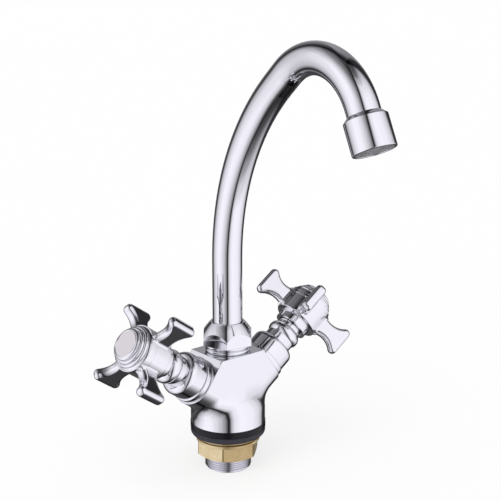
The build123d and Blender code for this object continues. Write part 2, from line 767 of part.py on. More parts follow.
# ---------------------------------------------------------------- spout
tail_groove_radius = tail_bore - 2 * tail_seal_section - 2 * seal_clearance
tail_seal_places = {
    "lower_tail_oring": tail_foot_z + tail_seal_rise,
    "upper_tail_oring": tail_foot_z + tail_seal_rise + tail_seal_spacing,
}
with BuildPart() as spout_tail:
    with BuildSketch(Plane.XZ):
        with BuildLine():
            Polyline(
                (tail_bore_radius, tail_foot_z),
                (tail_radius, tail_foot_z),
                (tail_radius, collar_z),
                (tail_collar_radius, collar_z),
                (tail_collar_radius, tube_foot_z),
                (tube_radius - tube_wall - thread_clearance, tube_foot_z),
                (tube_radius - tube_wall - thread_clearance, tube_foot_z + tail_stub_height),
                (tail_bore_radius, tube_foot_z + tail_stub_height),
                close=True,
            )
        make_face()
    revolve(axis=Axis.Z)
    for seal_z in tail_seal_places.values():
        with BuildSketch(Plane.XY.offset(seal_z)):
            Circle(tail_radius + tail_seal_section)
            Circle(tail_groove_radius, mode=Mode.SUBTRACT)
        extrude(amount=tail_seal_section + groove_play, both=True, mode=Mode.SUBTRACT)
finish(spout_tail, "spout_tail")

for seal_name, seal_z in tail_seal_places.items():
    with BuildPart() as tail_oring:
        with BuildSketch(Plane.XZ):
            with Locations((tail_groove_radius + seal_clearance + tail_seal_section, seal_z)):
                Circle(tail_seal_section)
        revolve(axis=Axis.Z)
    finish(tail_oring, seal_name)

with BuildLine(spout_plane) as spout_path:
    rise = Line((0, tube_foot_z), (0, rise_height))
    sweep_bend = JernArc(start=rise @ 1, tangent=rise % 1, radius=sweep_radius, arc_size=-sweep_angle)
    run = PolarLine(sweep_bend @ 1, run_length, direction=sweep_bend % 1)
    crook = JernArc(start=run @ 1, tangent=run % 1, radius=crook_radius, arc_size=-crook_angle)
    outlet = PolarLine(crook @ 1, outlet_run + tube_socket_depth, direction=crook % 1)

with BuildPart() as spout_tube:
    add(spout_path)
    with BuildSketch(Plane.XY.offset(tube_foot_z)):
        Circle(tube_radius)
        Circle(tube_radius - tube_wall, mode=Mode.SUBTRACT)
    sweep()
finish(spout_tube, "spout_tube")

# ---------------------------------------------------------------- outlet
outlet_axis = spout_path.line % 1
outlet_start = spout_path.line @ 1 - outlet_axis * tube_socket_depth
outlet_plane = Plane(outlet_start, x_dir=spout_plane.z_dir, z_dir=outlet_axis)
outlet_profile = Plane(outlet_plane.origin, x_dir=outlet_plane.x_dir, z_dir=-outlet_plane.y_dir)
outlet_line = Axis(outlet_plane.origin, outlet_plane.z_dir)
insert_radius = nipple_radius
insert_s = aerator_height - aerator_lip - insert_height

with BuildPart() as outlet_nipple:
    with BuildSketch(outlet_profile):
        with BuildLine():
            Polyline(
                (0, -nipple_shoulder_height),
                (tube_radius + 2 * thread_clearance, -nipple_shoulder_height),
                (nipple_shoulder_radius, 0),
                (nipple_radius, 0),
                (nipple_radius, nipple_length),
                (0, nipple_length),
                close=True,
            )
        make_face()
    revolve(axis=outlet_line)
    with BuildSketch(outlet_plane.offset(-nipple_shoulder_height)):
        Circle(tube_radius + running_clearance)
    extrude(amount=nipple_shoulder_height + tube_socket_depth, mode=Mode.SUBTRACT)
    with BuildSketch(outlet_plane.offset(-nipple_shoulder_height)):
        Circle(tube_radius - tube_wall)
    extrude(amount=nipple_shoulder_height + nipple_length, mode=Mode.SUBTRACT)
finish(outlet_nipple, "outlet_nipple")

with BuildPart() as aerator_housing:
    with BuildSketch(outlet_plane):
        Circle(aerator_radius)
    extrude(amount=aerator_height)
    fillet(aerator_housing.edges().filter_by(GeomType.CIRCLE), aerator_edge_round)
    for start_s, end_s, radius in (
        (0, aerator_height - aerator_lip, nipple_radius + thread_clearance),
        (0, aerator_height, insert_radius - aerator_lip_overlap),
    ):
        with BuildSketch(outlet_plane.offset(start_s)):
            Circle(radius)
        extrude(amount=end_s - start_s, mode=Mode.SUBTRACT)
finish(aerator_housing, "aerator_housing")

with BuildPart() as aerator_seal:
    with BuildSketch(outlet_plane.offset(nipple_length)):
        Circle(insert_radius)
        Circle(aerator_seal_hole_radius, mode=Mode.SUBTRACT)
    extrude(amount=aerator_seal_thickness)
finish(aerator_seal, "aerator_seal")

# flow straightener: a cup whose floor is pierced with rings of holes
with BuildPart() as aerator_insert:
    with BuildSketch(outlet_plane.offset(insert_s)):
        Circle(insert_radius)
    extrude(amount=insert_height)
    with BuildSketch(outlet_plane.offset(insert_s)):
        Circle(aerator_seal_hole_radius)
    extrude(amount=insert_height - insert_floor, mode=Mode.SUBTRACT)
    with BuildSketch(outlet_plane.offset(insert_s + insert_height)):
        Circle(insert_hole_radius)
        for ring in range(1, insert_hole_rings + 1):
            with PolarLocations(ring * insert_hole_pitch, 6 * ring):
                Circle(insert_hole_radius)
    extrude(amount=-insert_floor, mode=Mode.SUBTRACT)
finish(aerator_insert, "aerator_insert")
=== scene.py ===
"""Two-handle kitchen faucet: finishes, cut threads, gasket, back nut, handle barrels, index caps, aerator and
studio, round the CAD part."""
from math import atan2, ceil, cos, degrees, hypot, pi, radians, sin, sqrt, tan

import bmesh
import bpy
from bpy.props import FloatProperty, FloatVectorProperty, IntProperty, PointerProperty, StringProperty
from mathutils import Matrix, Vector


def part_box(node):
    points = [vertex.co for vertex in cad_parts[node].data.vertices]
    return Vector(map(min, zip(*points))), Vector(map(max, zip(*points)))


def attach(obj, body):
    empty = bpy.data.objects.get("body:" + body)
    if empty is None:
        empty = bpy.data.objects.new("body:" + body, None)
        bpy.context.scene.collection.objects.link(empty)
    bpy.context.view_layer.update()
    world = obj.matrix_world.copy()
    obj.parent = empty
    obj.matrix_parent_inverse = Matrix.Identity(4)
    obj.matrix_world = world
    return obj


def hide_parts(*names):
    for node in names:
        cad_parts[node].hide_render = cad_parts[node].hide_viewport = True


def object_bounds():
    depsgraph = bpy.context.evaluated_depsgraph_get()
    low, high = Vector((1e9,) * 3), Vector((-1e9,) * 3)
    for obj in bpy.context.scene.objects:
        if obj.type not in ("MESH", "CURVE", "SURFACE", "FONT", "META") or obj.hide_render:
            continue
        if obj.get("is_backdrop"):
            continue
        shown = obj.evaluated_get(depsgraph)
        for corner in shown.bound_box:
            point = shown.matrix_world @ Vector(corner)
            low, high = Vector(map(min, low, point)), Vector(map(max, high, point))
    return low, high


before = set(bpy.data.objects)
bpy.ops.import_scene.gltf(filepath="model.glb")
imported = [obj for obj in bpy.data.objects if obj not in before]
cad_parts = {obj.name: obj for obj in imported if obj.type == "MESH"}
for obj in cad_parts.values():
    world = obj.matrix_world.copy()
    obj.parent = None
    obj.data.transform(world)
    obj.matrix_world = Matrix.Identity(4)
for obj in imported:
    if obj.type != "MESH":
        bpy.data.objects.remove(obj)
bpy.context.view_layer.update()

bl_info = {
    "name": "Two-handle kitchen faucet",
    "version": (1, 0, 0),
    "blender": (4, 5, 0),
    "location": "View3D > Sidebar > Faucet",
    "description": "Dresses a packed two-handle faucet: plated, brass and rubber finishes, cut threads, "
                   "handle barrels, caps and screen",
    "category": "Object",
}

MM = 0.001

# the valves' axes meet here; each leans out and up by the tilt
VALVE_ORIGIN = Vector((0, 0, 23.9)) * MM
VALVE_TILT = radians(35)
SIDES = {"cold": -1, "hot": 1}      # the side of X that each valve leans to
CAP_FACE = 98.65 * MM               # along a valve's axis, where the index cap sits on the crown
ARM_ROLL = 48                       # degrees round a valve's axis to the first of its handle's four arms

GASKET_GROOVE = 4.7 * MM            # height of the groove between the gasket's band and its flange
NUT_TURN = radians(41.6)            # of the back nut's corners, from +X
NUT_FLAT = 19.0 * MM                # from the nut's axis to its flats, and to its corners
NUT_CORNER = NUT_FLAT / cos(radians(30))
NUT_HEX_TOP = -4.3 * MM

# the spout's outlet points down and forward
OUTLET_LEAN = radians(26.1)
OUTLET_TURN = radians(4)

# the camera that took the photograph, fitted to the shank, the body and both valves
CAMERA_PLACE = (-0.48973, -0.60362, 0.33239)
CAMERA_AIM = (0.62394, 0.73920, -0.25352)

# numbers of a colour Mix node's two inputs and its result, whose names repeat
FIRST, SECOND, MIXED = 6, 7, 2


# ---------------------------------------------------------------- node helpers
def linear(hex_colour):
    """Turn an sRGB hex colour into the linear RGBA that shaders take."""
    channels = [int(hex_colour[i:i + 2], 16) / 255 for i in (1, 3, 5)]
    return tuple(c / 12.92 if c <= 0.04045 else ((c + 0.055) / 1.055) ** 2.4 for c in channels) + (1.0,)


def add(tree, kind, inputs=None, stops=(), **settings):
    """Add one node with its settings, its sockets' values, the links into it and a colour ramp's stops.

    A socket goes by its name, or by its number where names repeat. A stop is a position and an sRGB hex colour.
    """
    made = tree.nodes.new(kind)
    for key, value in settings.items():
        setattr(made, key, value)
    for key, value in (inputs or {}).items():
        socket = made.inputs[key]
        if isinstance(value, bpy.types.NodeSocket):
            tree.links.new(value, socket)
        else:
            socket.default_value = value
    if stops:
        made.color_ramp.interpolation = "EASE"
        elements = made.color_ramp.elements
        while len(elements) < len(stops):
            elements.new(0.5)
        for element, (position, _) in zip(elements, stops):
            element.position = position
        for element, (_, colour) in zip(elements, stops):
            element.color = linear(colour)
    return made


def new_material(name):
    """Start a material with an empty node tree."""
    material = bpy.data.materials.new(name)
    material.use_nodes = True
    material.node_tree.nodes.clear()
    return material, material.node_tree


def shade(tree, shader):
    """Close a material with one principled shader, its sockets given plain values or links."""
    bsdf = add(tree, "ShaderNodeBsdfPrincipled", shader)
    add(tree, "ShaderNodeOutputMaterial", {"Surface": bsdf.outputs["BSDF"]})


def mottle(tree, place, size, detail=3.0, roughness=0.55, low=0.0, high=1.0):
    """A pattern of soft blotches about size metres across, worth low to high."""
    blotches = add(tree, "ShaderNodeTexNoise", {
        "Vector": place, "Scale": 1 / size, "Detail": detail, "Roughness": roughness})
    # nearly all of a noise lies from 0.3 to 0.7
    return add(tree, "ShaderNodeMapRange", {
        "Value": blotches.outputs["Fac"], "From Min": 0.3, "From Max": 0.7, "To Min": low, "To Max": high,
    }).outputs["Result"]


# ---------------------------------------------------------------- mesh helpers
def new_piece(name, shape, body, material, replaced=()):
    """Make a piece from a bmesh, ride it on its body and hide the CAD nodes it stands for."""
    mesh = bpy.data.meshes.new(name)
    shape.to_mesh(mesh)
    shape.free()
    piece = bpy.data.objects.new(name, mesh)
    bpy.context.scene.collection.objects.link(piece)
    piece.data.materials.append(material)
    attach(piece, body)
    if replaced:
        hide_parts(*replaced)
    return piece


def ring(shape, radius, height, segments):
    """A circle of edges in a plane across Z."""
    made = bmesh.ops.create_circle(shape, segments=segments, radius=radius, cap_ends=False)
    bmesh.ops.translate(shape, verts=made["verts"], vec=(0, 0, height))
    return made["verts"]


def loft(shape, profile, segments):
    """Bridge circles of (radius, height) into one closed turned shape, its ends capped."""
    rings = [ring(shape, radius, height, segments) for radius, height in profile]
    rims = [list({edge for vert in loop for edge in vert.link_edges}) for loop in rings]
    for low, high in zip(rims, rims[1:]):
        bmesh.ops.bridge_loops(shape, edges=low + high)
    for end in (rings[0], rings[-1]):
        bmesh.ops.contextual_create(shape, geom=end)
    bmesh.ops.recalc_face_normals(shape, faces=shape.faces)
    return rings


def arc(centre, radius, start, end, steps):
    """Points of (radius, height) along an arc, its angles in degrees from outwards."""
    angles = [radians(start + (end - start) * step / steps) for step in range(steps + 1)]
    return [(centre[0] + radius * cos(angle), centre[1] + radius * sin(angle)) for angle in angles]


def turn(profile, segments, shape=None):
    """Spin a closed profile of (radius, height) once round Z, into a new shape or beside what a shape holds."""
    shape = shape or bmesh.new()
    points = [shape.verts.new((radius, 0, height)) for radius, height in profile]
    edges = [shape.edges.new(pair) for pair in zip(points, points[1:] + points[:1])]
    bmesh.ops.spin(shape, geom=points + edges, cent=(0, 0, 0), axis=(0, 0, 1), angle=2 * pi, steps=segments,
                   use_merge=True)
    bmesh.ops.remove_doubles(shape, verts=shape.verts, dist=0.001 * MM)
    bmesh.ops.recalc_face_normals(shape, faces=shape.faces)
    return shape


def helix_rod(crest, depth, pitch, low, high, segments=96):
    """A closed rod with a V thread between two heights: one pitch of the profile is spun up the rod."""
    shape = bmesh.new()
    turns = ceil((high - low) / pitch) + 2
    root = crest - depth
    # radius, and share of a pitch: a flat root, a flank, a narrow crest and a flank
    profile = ((root, 0.0), (root, 0.12), (crest, 0.45), (crest, 0.55), (root, 0.88), (root, 1.0))
    points = [shape.verts.new((radius, 0, low + (share - 1) * pitch)) for radius, share in profile]
    edges = [shape.edges.new(pair) for pair in zip(points, points[1:])]
    bmesh.ops.spin(shape, geom=points + edges, cent=(0, 0, 0), axis=(0, 0, 1), dvec=(0, 0, pitch / segments),
                   angle=2 * pi * turns, steps=segments * turns, use_merge=False)
    bmesh.ops.remove_doubles(shape, verts=shape.verts, dist=0.001 * MM)
    for height, normal in ((low, (0, 0, -1)), (high, (0, 0, 1))):
        bmesh.ops.bisect_plane(shape, geom=shape.verts[:] + shape.edges[:] + shape.faces[:],
                               plane_co=(0, 0, height), plane_no=normal, clear_outer=True)
        rim = [edge for edge in shape.edges
               if edge.is_boundary and all(abs(vert.co.z - height) < 0.001 * MM for vert in edge.verts)]
        bmesh.ops.contextual_create(shape, geom=rim)
    bmesh.ops.recalc_face_normals(shape, faces=shape.faces)
    return shape


def cut_away(piece, cutters):
    """Subtract closed shapes from a piece and keep the plain mesh."""
    for cutter in cutters:
        mesh = bpy.data.meshes.new("cutter")
        cutter.to_mesh(mesh)
        cutter.free()
        tool = bpy.data.objects.new("cutter", mesh)
        bpy.context.scene.collection.objects.link(tool)
        cut = piece.modifiers.new("cut", "BOOLEAN")
        cut.operation, cut.solver, cut.object = "DIFFERENCE", "EXACT", tool
        bpy.context.view_layer.update()
        graph = bpy.context.evaluated_depsgraph_get()
        result = bpy.data.meshes.new_from_object(piece.evaluated_get(graph))
        piece.modifiers.clear()
        old = piece.data
        piece.data = result
        bpy.data.meshes.remove(old)
        bpy.data.objects.remove(tool)
        bpy.data.meshes.remove(mesh)


def smooth(piece, angle=30):
    """Shade a piece smooth, with a crisp line wherever two faces meet at more than angle degrees."""
    piece.data.polygons.foreach_set("use_smooth", [True] * len(piece.data.polygons))
    shape = bmesh.new()
    shape.from_mesh(piece.data)
    for edge in shape.edges:
        edge.smooth = len(edge.link_faces) == 2 and edge.calc_face_angle(pi) < radians(angle)
    shape.to_mesh(piece.data)
    shape.free()


def stand_on_valve(shape, sign):
    """Turn a shape made round Z on to a valve's axis."""
    lean = Matrix.Rotation(sign * (pi / 2 - VALVE_TILT), 4, "Y")
    bmesh.ops.transform(shape, matrix=Matrix.Translation(VALVE_ORIGIN) @ lean, verts=shape.verts)


# ---------------------------------------------------------------- finishes
def chromium_on_casting(look):
    """Bright chromium plate over a buffed brass casting: a cool mirror, with the slow waves that buffing leaves."""
    material, tree = new_material("Chromium plate on cast brass")
    place = add(tree, "ShaderNodeTexCoord").outputs["Object"]
    haze = mottle(tree, place, 18 * MM, low=look.chrome_roughness, high=look.chrome_roughness + 0.025)
    waves = add(tree, "ShaderNodeBump", {
        "Height": mottle(tree, place, 14 * MM, detail=1.0), "Distance": 0.02 * MM})
    shade(tree, {"Metallic": 1.0, "Base Color": (*look.chrome, 1.0), "Roughness": haze,
                 "Normal": waves.outputs["Normal"]})
    return material


def chromium_on_tube(look):
    """Chromium plate over drawn and turned brass: the truest mirror on the tap, with a breath of handling haze."""
    material, tree = new_material("Chromium plate on drawn tube")
    place = add(tree, "ShaderNodeTexCoord").outputs["Object"]
    haze = mottle(tree, place, 25 * MM, low=look.chrome_roughness, high=look.chrome_roughness + 0.02)
    shade(tree, {"Metallic": 1.0, "Base Color": (*look.chrome, 1.0), "Roughness": haze})
    return material


def satin_chromium():
    """Chromium plate over a bead-blasted face: a soft pale sheen without images in it."""
    material, tree = new_material("Satin chromium")
    place = add(tree, "ShaderNodeTexCoord").outputs["Object"]
    haze = mottle(tree, place, 6 * MM, low=0.30, high=0.38)
    # bead marks are about 0.1 mm across, drawn coarser so that they show
    beads = add(tree, "ShaderNodeBump", {
        "Height": mottle(tree, place, 0.35 * MM, detail=2.0), "Distance": 0.004 * MM})
    shade(tree, {"Metallic": 1.0, "Base Color": linear("#f2edee"), "Roughness": haze,
                 "Normal": beads.outputs["Normal"]})
    return material


def plated_thread():
    """Thin plate over a die-cut thread: brighter on the crests, with fine tool tearing along the flanks."""
    material, tree = new_material("Plated cut thread")
    place = add(tree, "ShaderNodeTexCoord").outputs["Object"]
    haze = mottle(tree, place, 2 * MM, low=0.12, high=0.26)
    tearing = add(tree, "ShaderNodeBump", {
        "Height": mottle(tree, place, 0.6 * MM, detail=4.0), "Distance": 0.012 * MM})
    shade(tree, {"Metallic": 1.0, "Base Color": linear("#d2d1d8"), "Roughness": haze,
                 "Normal": tearing.outputs["Normal"]})
    return material


def cast_brass():
    """Sand-cast brass left as it was fettled: straw with a thin oxide film, a fine grain and faint darker patches,
    with painted shade on one flat and along the hexagon's corners.
    """
    material, tree = new_material("Sand-cast brass")
    place = add(tree, "ShaderNodeTexCoord").outputs["Object"]
    patches = add(tree, "ShaderNodeValToRGB", {"Fac": mottle(tree, place, 7 * MM, detail=5.0)},
                  stops=((0.0, "#d8c598"), (0.5, "#e3d2aa"), (1.0, "#ecdebb")))
    # moulding sand is about 0.3 mm, drawn coarser so that it shows
    grain = mottle(tree, place, 0.9 * MM, detail=6.0, roughness=0.8)
    speckle = add(tree, "ShaderNodeValToRGB", {"Fac": grain},
                  stops=((0.0, "#b8a988"), (0.3, "#f2ede3"), (1.0, "#ffffff")))
    colour = add(tree, "ShaderNodeMix", {
        "Factor": 0.8, FIRST: patches.outputs["Color"], SECOND: speckle.outputs["Color"],
    }, data_type="RGBA", blend_type="MULTIPLY")

    # painted shade: one of the nut's flats is multiplied darker, standing for the shaded side of the hexagon
    shaded_flat_normal = (cos(NUT_TURN + radians(210)), sin(NUT_TURN + radians(210)), 0)
    outwards = add(tree, "ShaderNodeVectorMath", {0: place, 1: shaded_flat_normal}, operation="DOT_PRODUCT")
    on_painted_shade_flat = add(tree, "ShaderNodeMapRange", {
        "Value": outwards.outputs["Value"], "From Min": NUT_FLAT - 0.1 * MM, "From Max": NUT_FLAT - 0.03 * MM})
    skin_and_flat_shade = add(tree, "ShaderNodeMix", {
        "Factor": on_painted_shade_flat.outputs["Result"], FIRST: (1, 1, 1, 1), SECOND: linear("#dcd3c4")}, data_type="RGBA")
    colour = add(tree, "ShaderNodeMix", {
        "Factor": 1.0, FIRST: colour.outputs[MIXED], SECOND: skin_and_flat_shade.outputs[MIXED],
    }, data_type="RGBA", blend_type="MULTIPLY")

    # painted shade: a thin dark line along the hexagon's corner edges, below the collar
    level = add(tree, "ShaderNodeVectorMath", {0: place, 1: (1, 1, 0)}, operation="MULTIPLY")
    radius = add(tree, "ShaderNodeVectorMath", {0: level.outputs["Vector"]}, operation="LENGTH")
    corner = add(tree, "ShaderNodeMapRange", {
        "Value": radius.outputs["Value"], "From Min": NUT_CORNER - 0.319 * MM, "From Max": NUT_CORNER - 0.239 * MM})
    height = add(tree, "ShaderNodeSeparateXYZ", {0: place})
    below = add(tree, "ShaderNodeMath", {0: height.outputs["Z"], 1: NUT_HEX_TOP - 0.1 * MM},
                operation="LESS_THAN")
    painted_edge_shade = add(tree, "ShaderNodeMath", {0: corner.outputs["Result"], 1: below.outputs[0]}, operation="MULTIPLY")
    colour = add(tree, "ShaderNodeMix", {
        "Factor": painted_edge_shade.outputs[0], FIRST: colour.outputs[MIXED], SECOND: linear("#7d6840")}, data_type="RGBA")

    relief = add(tree, "ShaderNodeBump", {"Height": grain, "Distance": 0.05 * MM})
    shade(tree, {"Metallic": 0.72, "Base Color": colour.outputs[MIXED],
                 "Roughness": mottle(tree, place, 1.5 * MM, low=0.28, high=0.42),
                 "Normal": relief.outputs["Normal"]})
    return material


def turned_brass():
    """Free-cutting brass off the lathe: warm and bright, with fine marks that catch the light."""
    material, tree = new_material("Turned brass")
    place = add(tree, "ShaderNodeTexCoord").outputs["Object"]
    haze = mottle(tree, place, 3 * MM, low=0.2, high=0.32)
    marks = add(tree, "ShaderNodeBump", {
        "Height": mottle(tree, place, 0.4 * MM, detail=2.0), "Distance": 0.006 * MM})
    shade(tree, {"Metallic": 1.0, "Base Color": linear("#d3b26a"), "Roughness": haze,
                 "Normal": marks.outputs["Normal"]})
    return material


def moulded_rubber():
    """Black nitrile rubber from a mould: deep grey-black, a dull sheen and a faint bloom."""
    material, tree = new_material("Moulded nitrile rubber")
    place = add(tree, "ShaderNodeTexCoord").outputs["Object"]
    bloom = add(tree, "ShaderNodeValToRGB", {"Fac": mottle(tree, place, 4 * MM, detail=4.0)},
                stops=((0.0, "#d8d8dc"), (1.0, "#ffffff")))
    # painted light: the flange under the groove is painted lighter grey, standing for the white floor's reflection in
    # its foot, and the band above it near-black; the band is also glossier
    height = add(tree, "ShaderNodeSeparateXYZ", {0: place})
    band_gloss_and_painted_shade = add(tree, "ShaderNodeMapRange", {
        "Value": height.outputs["Z"], "From Min": GASKET_GROOVE - 0.3 * MM, "From Max": GASKET_GROOVE + 0.3 * MM,
    }).outputs["Result"]
    tone = add(tree, "ShaderNodeValToRGB", {"Fac": band_gloss_and_painted_shade}, stops=((0.0, "#3b3a41"), (1.0, "#131217")))
    colour = add(tree, "ShaderNodeMix", {
        "Factor": 1.0, FIRST: tone.outputs["Color"], SECOND: bloom.outputs["Color"],
    }, data_type="RGBA", blend_type="MULTIPLY")
    dull = add(tree, "ShaderNodeMapRange", {"Value": band_gloss_and_painted_shade, "To Min": 0.5, "To Max": 0.24})
    # a wave texture at scale 1 repeats every 2 pi / 20 metres; the mould's ripple repeats every 9.42 mm
    ripple = add(tree, "ShaderNodeTexWave", {
        "Vector": place, "Scale": 2 * pi / 20 / (9.42 * MM), "Distortion": 0.4, "Detail": 1.0},
        bands_direction="Z")
    relief = add(tree, "ShaderNodeBump", {"Height": ripple.outputs["Fac"], "Distance": 0.05 * MM})
    shade(tree, {"IOR": 1.52, "Specular IOR Level": 0.22, "Base Color": colour.outputs[MIXED],
                 "Roughness": dull.outputs["Result"], "Normal": relief.outputs["Normal"]})
    return material


def lapped_alumina():
    """Lapped alumina ceramic: cream white, smooth enough to seal and faintly glossy."""
    material, tree = new_material("Lapped alumina")
    place = add(tree, "ShaderNodeTexCoord").outputs["Object"]
    tone = add(tree, "ShaderNodeValToRGB", {"Fac": mottle(tree, place, 3 * MM)},
               stops=((0.0, "#e9e5dc"), (1.0, "#f3f0e9")))
    shade(tree, {"IOR": 1.76, "Base Color": tone.outputs["Color"],
                 "Roughness": mottle(tree, place, 1 * MM, low=0.18, high=0.26)})
    return material


def drawn_stainless():
    """Plain stainless steel wire and screws: a grey metal with fine drawing marks."""
    material, tree = new_material("Drawn stainless steel")
    place = add(tree, "ShaderNodeTexCoord").outputs["Object"]
    haze = mottle(tree, place, 1.2 * MM, low=0.22, high=0.36)
    marks = add(tree, "ShaderNodeBump", {"Height": mottle(tree, place, 0.3 * MM), "Distance": 0.004 * MM})
    shade(tree, {"Metallic": 1.0, "Base Color": linear("#bdbcbe"), "Roughness": haze,
                 "Normal": marks.outputs["Normal"]})
    return material


def moulded_acetal(name, dark, light):
    """Moulded acetal: an even, slightly waxy plastic with a soft sheen."""
    material, tree = new_material(name)
    place = add(tree, "ShaderNodeTexCoord").outputs["Object"]
    tone = add(tree, "ShaderNodeValToRGB", {"Fac": mottle(tree, place, 5 * MM)},
               stops=((0.0, dark), (1.0, light)))
    skin_and_flat_shade = add(tree, "ShaderNodeBump", {"Height": mottle(tree, place, 0.4 * MM), "Distance": 0.006 * MM})
    shade(tree, {"IOR": 1.48, "Base Color": tone.outputs["Color"],
                 "Roughness": mottle(tree, place, 1 * MM, low=0.34, high=0.44),
                 "Normal": skin_and_flat_shade.outputs["Normal"]})
    return material


# every finish by its short name, made by the first operator
FINISHES = {}

# the finish that goes with a word in a CAD node's name
FINISH_OF = {
    "mixer_body": "cast", "threaded_shank": "thread", "base_gasket": "rubber", "clamp_washer": "brass",
    "back_nut": "brass", "spout_spigot": "tube", "union_nut": "tube", "glide_ring": "acetal",
    "seat_seal": "rubber", "oring": "rubber", "headwork": "turned", "disc": "alumina", "bonnet": "cast",
    "spindle": "turned", "clip": "steel", "screw": "steel", "handle": "cast", "index_cap": "cast",
    "spout_tube": "tube", "spout_tail": "turned", "outlet_nipple": "tube", "aerator_housing": "tube",
    "aerator_insert": "grey", "aerator_seal": "rubber",
}


def finish_of(name):
    """The finish whose word stands latest in a node's name."""
    words = [word for word in FINISH_OF if word in name]
    return FINISH_OF[max(words, key=lambda word: (name.rfind(word) + len(word), len(word)))]


# ---------------------------------------------------------------- sizes and colours a user would change
class FaucetLook(bpy.types.PropertyGroup):
    """Finish of the tap."""
    chrome: FloatVectorProperty(
        name="Chromium", description="Colour that the plate gives to what it mirrors",
        size=3, subtype="COLOR", min=0, max=1, default=linear("#e6e6ea")[:3])
    chrome_roughness: FloatProperty(
        name="Chromium haze", description="Least roughness of the plate",
        subtype="FACTOR", min=0, max=1, default=0.03)


class FaucetDetail(bpy.types.PropertyGroup):
    """Sizes of the pieces that are added to the CAD part."""
    thread_pitch: FloatProperty(
        name="Shank pitch", description="Pitch of the shank's thread",
        subtype="DISTANCE", unit="LENGTH", default=1.5 * MM)
    thread_depth: FloatProperty(
        name="Shank thread depth", description="Crest to root of the shank's thread",
        subtype="DISTANCE", unit="LENGTH", default=0.85 * MM)
    hub_radius: FloatProperty(
        name="Hub radius", description="Radius of the barrel between a handle's arms",
        subtype="DISTANCE", unit="LENGTH", default=15.8 * MM)
    hub_fillet: FloatProperty(
        name="Hub fillet", description="Casting radius between the barrel and the arms",
        subtype="DISTANCE", unit="LENGTH", default=2.0 * MM)
    cap_teeth: IntProperty(
        name="Cap ridges", description="Fine ridges round the rim of each index cap", min=12, max=200, default=84)
    screen_pitch: FloatProperty(
        name="Screen pitch", description="Spacing of the rings in the aerator's screen",
        subtype="DISTANCE", unit="LENGTH", default=1.45 * MM)


class FaucetStage(bpy.types.PropertyGroup):
    """Camera and light."""
    lens: FloatProperty(
        name="Lens", description="Focal length on a 36 mm sensor", subtype="DISTANCE_CAMERA", default=87.49)
    slot_azimuth: FloatProperty(
        name="Slot", description="Direction of the tent's dark camera slot, from +X",
        subtype="ANGLE", unit="ROTATION", default=radians(229.8))
    slot_lean: FloatProperty(name="Slot lean", description="Turn of the slot for each unit of height", default=0.16)
    tint: StringProperty(name="Tent colour", description="sRGB hex colour of the tent's cloth", default="#f6f5fb")
    sky: FloatProperty(name="Fill", description="Light that comes evenly from all round", default=0.62)
    key: FloatProperty(name="Key", description="Strength of the soft key light", default=1.55)


# ---------------------------------------------------------------- pieces
class FAUCET_OT_finishes(bpy.types.Operator):
    """Make the finishes and give every CAD node its own"""
    bl_idname = "faucet.finishes"
    bl_label = "Finish the CAD nodes"

    def execute(self, context):
        look = context.scene.faucet_look
        FINISHES.update({
            "cast": chromium_on_casting(look),
            "tube": chromium_on_tube(look),
            "satin": satin_chromium(),
            "thread": plated_thread(),
            "brass": cast_brass(),
            "turned": turned_brass(),
            "rubber": moulded_rubber(),
            "alumina": lapped_alumina(),
            "steel": drawn_stainless(),
            "acetal": moulded_acetal("White acetal", "#e6e5e0", "#efeee9"),
            "grey": moulded_acetal("Grey acetal", "#848286", "#98969a"),
        })
        for name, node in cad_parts.items():
            node.data.materials.clear()
            node.data.materials.append(FINISHES[finish_of(name)])
        return {"FINISHED"}


class FAUCET_OT_shank(bpy.types.Operator):
    """Cut the shank's thread and the two tapped inlets in its foot"""
    bl_idname = "faucet.shank"
    bl_label = "Threaded shank"

    def execute(self, context):
        detail = context.scene.faucet_detail
        low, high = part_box("threaded_shank")
        nut_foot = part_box("back_nut")[0].z
        crest, neck_radius, lead = high.x, 15.5 * MM, 1.0 * MM
        shape = helix_rod(crest, detail.thread_depth, detail.thread_pitch, low.z, nut_foot - 0.1 * MM)
        # the thread's first turn runs in from a lead chamfer
        for vert in shape.verts:
            radius = hypot(vert.co.x, vert.co.y)
            limit = crest - lead + max(0, vert.co.z - low.z)
            if radius > limit:
                vert.co.xy *= limit / radius
        piece = new_piece("shank_thread", shape, "mixer", FINISHES["thread"], ["threaded_shank"])

        inlet_x, inlet_crest, inlet_depth, inlet_pitch, inlet_reach = 8.5 * MM, 5.0 * MM, 0.5 * MM, 1.0 * MM, 9 * MM
        inlets = []
        for x in (-inlet_x, inlet_x):
            thread = helix_rod(inlet_crest, inlet_depth, inlet_pitch, low.z - 0.6 * MM, low.z + inlet_reach, 48)
            bmesh.ops.translate(thread, verts=thread.verts, vec=(x, 0, 0))
            inlets.append(thread)
        cut_away(piece, inlets)
        smooth(piece, 25)

        # inside the nut and the body the shank is plain
        neck = bmesh.new()
        loft(neck, [(neck_radius, nut_foot - 0.4 * MM), (neck_radius, high.z)], 96)
        smooth(new_piece("shank_neck", neck, "mixer", FINISHES["thread"]), 25)
        return {"FINISHED"}


class FAUCET_OT_gasket(bpy.types.Operator):
    """Make the base gasket: an upright band over a parting groove, and a flange with a rounded foot"""
    bl_idname = "faucet.gasket"
    bl_label = "Base gasket"

    def execute(self, context):
        low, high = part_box("base_gasket")
        bore = min(hypot(vert.co.x, vert.co.y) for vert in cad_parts["base_gasket"].data.vertices)
        band, flange, top_round, foot_round = high.x, high.x - 0.15 * MM, 0.4 * MM, 2.6 * MM
        profile = [(bore, low.z), *arc((flange - foot_round, low.z + foot_round), foot_round, -75, 0, 8)]
        profile += [(flange, GASKET_GROOVE - 0.2 * MM), (flange - 0.3 * MM, GASKET_GROOVE),
                    (band, GASKET_GROOVE + 0.25 * MM)]
        profile += [*arc((band - top_round, high.z - top_round), top_round, 0, 90, 5), (bore, high.z)]
        shape = turn(profile, 192)
        smooth(new_piece("gasket_ring", shape, "mixer", FINISHES["rubber"], ["base_gasket"]), 40)
        return {"FINISHED"}


